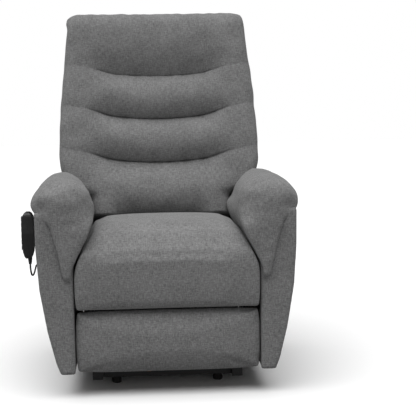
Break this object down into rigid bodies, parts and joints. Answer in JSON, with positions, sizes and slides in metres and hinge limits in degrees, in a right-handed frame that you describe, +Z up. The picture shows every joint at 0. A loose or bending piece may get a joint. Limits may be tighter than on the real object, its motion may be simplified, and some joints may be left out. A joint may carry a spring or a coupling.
{
  "type": "lift recliner chair",
  "caption": "Padded lift recliner armchair: four-bar lift base, reclining back with wings, swing-out footrest, three linear actuators and a wired handset.",
  "frame": {"origin": "on the floor under the middle of the chair with its handset", "axes": "+X to the sitter's left, -Y to the front, +Z up"},
  "size_m": [0.7904, 0.8636, 1.1107],
  "materials": {
    "upholstery": "heather grey woven polyester",
    "black_steel": "black powder coat",
    "zinc_wire": "bright zinc plate",
    "plywood": "raw plywood",
    "black_plastic": "fine moulded texture",
    "grey_plastic": "satin moulded",
    "rubber": "matte black"
  },
  "bodies": {
    "base": {"base_rail_left": "black_steel", "base_rail_right": "black_steel", "base_front_tube": "black_steel", "base_rear_tube": "black_steel", "front_glide_left": "rubber", "front_glide_right": "rubber"},
    "rear_lift_arms": {"rear_lift_arm_left": "black_steel", "rear_lift_arm_right": "black_steel", "lift_torque_tube": "black_steel"},
    "front_lift_arms": {"front_lift_arm_left": "black_steel", "front_lift_arm_right": "black_steel"},
    "chair": {"seat_side_plate_left": "black_steel", "seat_side_plate_right": "black_steel", "seat_front_rail": "black_steel", "seat_rear_rail": "black_steel", "seat_springs": "zinc_wire", "seat_cushion": "upholstery", "arm_frame_left": "plywood", "arm_frame_right": "plywood", "arm_panel_left": "upholstery", "arm_panel_right": "upholstery", "arm_pad_left": "upholstery", "arm_pad_right": "upholstery", "rear_valance": "upholstery", "control_box": "black_plastic", "handset_hanger_left": "zinc_wire", "handset_hanger_right": "zinc_wire", "cable_grommet": "rubber", "handset_cord": "rubber"},
    "back": {"back_post_left": "black_steel", "back_post_right": "black_steel", "back_top_rail": "plywood", "back_lower_rail": "black_steel", "back_cushion": "upholstery", "back_outer_panel": "upholstery"},
    "lift_actuator": {"lift_actuator_body": "grey_plastic"},
    "lift_rod": {"lift_actuator_rod": "zinc_wire"},
    "recline_actuator": {"recline_actuator_body": "grey_plastic"},
    "recline_rod": {"recline_actuator_rod": "zinc_wire"},
    "legrest_actuator": {"legrest_actuator_body": "grey_plastic"},
    "legrest_rod": {"legrest_actuator_rod": "zinc_wire"},
    "legrest_drive": {"legrest_drive_link_left": "black_steel", "legrest_drive_link_right": "black_steel", "legrest_torque_tube": "black_steel"},
    "legrest_front": {"legrest_front_link_left": "black_steel", "legrest_front_link_right": "black_steel"},
    "legrest_lower": {"legrest_lower_link_left": "black_steel", "legrest_lower_link_right": "black_steel"},
    "legrest_upper": {"legrest_upper_link_left": "black_steel", "legrest_upper_link_right": "black_steel"},
    "footrest": {"footrest_bracket_left": "black_steel", "footrest_bracket_right": "black_steel", "footrest_board": "plywood", "footrest_pad": "upholstery"},
    "handset": {"handset_front_shell": "black_plastic", "handset_back_shell": "black_plastic"},
    "lift_key": {"lift_rocker": "grey_plastic"},
    "recline_key": {"recline_rocker": "grey_plastic"},
    "legrest_key": {"legrest_rocker": "grey_plastic"}
  },
  "joints": [
    {"name": "lift", "type": "hinge", "parent": "base", "child": "rear_lift_arms", "pos_m": [0.0149, -0.17213, 0.1], "axis": [1, 0, 0], "range_deg": [0, 62.18]},
    {"name": "front_lift_arm_swing", "type": "hinge", "parent": "base", "child": "front_lift_arms", "pos_m": [0.0149, -0.25863, 0.0974], "axis": [1, 0, 0], "range_deg": [0, 68.49]},
    {"name": "chair_tilt", "type": "hinge", "parent": "rear_lift_arms", "child": "chair", "pos_m": [0.0149, 0.18637, 0.09], "axis": [1, 0, 0], "range_deg": [-43.12, 0]},
    {"name": "lift_actuator_swing", "type": "hinge", "parent": "base", "child": "lift_actuator", "pos_m": [0.0149, 0.23637, 0.084], "axis": [1, 0, 0], "range_deg": [-0.2, 2.41]},
    {"name": "lift_rod_stroke", "type": "slide", "parent": "lift_actuator", "child": "lift_rod", "axis": [0, -0.9744, 0.2247], "range_m": [-0.001, 0.07698]},
    {"name": "recline", "type": "hinge", "parent": "chair", "child": "back", "pos_m": [0.0149, 0.18137, 0.3], "axis": [-1, 0, 0], "range_deg": [0, 40]},
    {"name": "recline_actuator_swing", "type": "hinge", "parent": "chair", "child": "recline_actuator", "pos_m": [0.1099, -0.32363, 0.235], "axis": [1, 0, 0], "range_deg": [-0.2, 3.95]},
    {"name": "recline_rod_stroke", "type": "slide", "parent": "recline_actuator", "child": "recline_rod", "axis": [0, 0.9998, 0.0178], "range_m": [-0.0289, 0.001]},
    {"name": "legrest", "type": "hinge", "parent": "chair", "child": "legrest_drive", "pos_m": [0.0149, -0.23863, 0.285], "axis": [-1, 0, 0], "range_deg": [0, 88]},
    {"name": "legrest_front_swing", "type": "hinge", "parent": "chair", "child": "legrest_front", "pos_m": [0.0149, -0.29263, 0.281], "axis": [-1, 0, 0], "range_deg": [0, 88.2]},
    {"name": "legrest_lower_swing", "type": "hinge", "parent": "legrest_drive", "child": "legrest_lower", "pos_m": [0.0149, -0.11363, 0.09], "axis": [-1, 0, 0], "range_deg": [-88.2, 0]},
    {"name": "legrest_upper_swing", "type": "hinge", "parent": "legrest_drive", "child": "legrest_upper", "pos_m": [0.0149, -0.11763, 0.14], "axis": [-1, 0, 0], "range_deg": [-88.2, 0]},
    {"name": "footrest_turn", "type": "hinge", "parent": "legrest_lower", "child": "footrest", "pos_m": [0.0149, -0.28863, 0.195], "axis": [-1, 0, 0], "range_deg": [0, 88.2]},
    {"name": "legrest_actuator_swing", "type": "hinge", "parent": "chair", "child": "legrest_actuator", "pos_m": [-0.0801, 0.07337, 0.235], "axis": [1, 0, 0], "range_deg": [-0.2, 0.616]},
    {"name": "legrest_rod_stroke", "type": "slide", "parent": "legrest_actuator", "child": "legrest_rod", "axis": [0, -0.9992, 0.04], "range_m": [-0.001, 0.06301]},
    {"name": "handset_lift_off", "type": "slide", "parent": "chair", "child": "handset", "axis": [0, 0, 1], "range_m": [0, 0.015]},
    {"name": "lift_key_rock", "type": "hinge", "parent": "handset", "child": "lift_key", "pos_m": [-0.3912, -0.31863, 0.496], "axis": [0, 1, 0], "range_deg": [-3.5, 3.5], "stiffness_Nm_per_rad": 0.6},
    {"name": "recline_key_rock", "type": "hinge", "parent": "handset", "child": "recline_key", "pos_m": [-0.3912, -0.31863, 0.463], "axis": [0, 1, 0], "range_deg": [-3.5, 3.5], "stiffness_Nm_per_rad": 0.6},
    {"name": "legrest_key_rock", "type": "hinge", "parent": "handset", "child": "legrest_key", "pos_m": [-0.3912, -0.31863, 0.43], "axis": [0, 1, 0], "range_deg": [-3.5, 3.5], "stiffness_Nm_per_rad": 0.6}
  ],
  "couplings": [
    {"joint": "front_lift_arm_swing", "follows": "lift", "ratio": 1.0983},
    {"joint": "chair_tilt", "follows": "lift", "ratio": -0.69025},
    {"joint": "lift_actuator_swing", "follows": "lift", "ratio": 0.035558},
    {"joint": "lift_rod_stroke", "follows": "lift", "m_per_rad": 0.070012},
    {"joint": "recline_actuator_swing", "follows": "recline", "ratio": 0.093675},
    {"joint": "recline_rod_stroke", "follows": "recline", "m_per_rad": -0.039964},
    {"joint": "legrest_front_swing", "follows": "legrest", "ratio": 1},
    {"joint": "legrest_lower_swing", "follows": "legrest", "ratio": -1},
    {"joint": "legrest_upper_swing", "follows": "legrest", "ratio": -1},
    {"joint": "footrest_turn", "follows": "legrest", "ratio": 1},
    {"joint": "legrest_actuator_swing", "follows": "legrest", "ratio": 0.004727},
    {"joint": "legrest_rod_stroke", "follows": "legrest", "m_per_rad": 0.040374}
  ]
}
